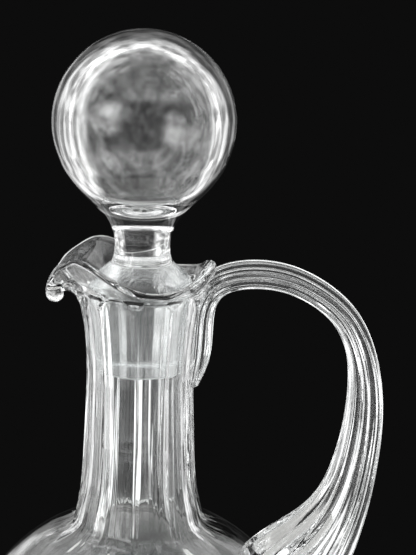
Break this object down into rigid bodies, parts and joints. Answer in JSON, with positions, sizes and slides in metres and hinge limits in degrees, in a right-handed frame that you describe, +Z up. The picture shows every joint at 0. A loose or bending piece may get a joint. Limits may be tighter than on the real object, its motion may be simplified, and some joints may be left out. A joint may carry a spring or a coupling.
{
  "type": "glass carafe",
  "caption": "Clear glass carafe: globe bowl, fluted neck with a three-lobed pouring lip, reeded handle, and a hollow ball stopper that lifts out.",
  "frame": {"origin": "centre of the flat base, on the axis of globe and neck", "axes": "+Z up the neck, +X towards the handle, -X towards the spout"},
  "size_m": [0.1571, 0.136, 0.3035],
  "materials": {
    "blown_glass": "clear, fire polished, with cut flutes",
    "drawn_glass": "clear, fire polished, reeded",
    "stopper_glass": "clear, fire polished",
    "ground_glass": "clear, finely ground on the taper"
  },
  "bodies": {
    "carafe": {"vessel": "blown_glass", "handle": "drawn_glass"},
    "stopper": {"stopper_ball": "stopper_glass", "stopper_plug": "ground_glass"}
  },
  "joints": [
    {"name": "stopper_lift", "type": "slide", "parent": "carafe", "child": "stopper", "axis": [0, 0, 1], "range_m": [0, 0.065]}
  ]
}
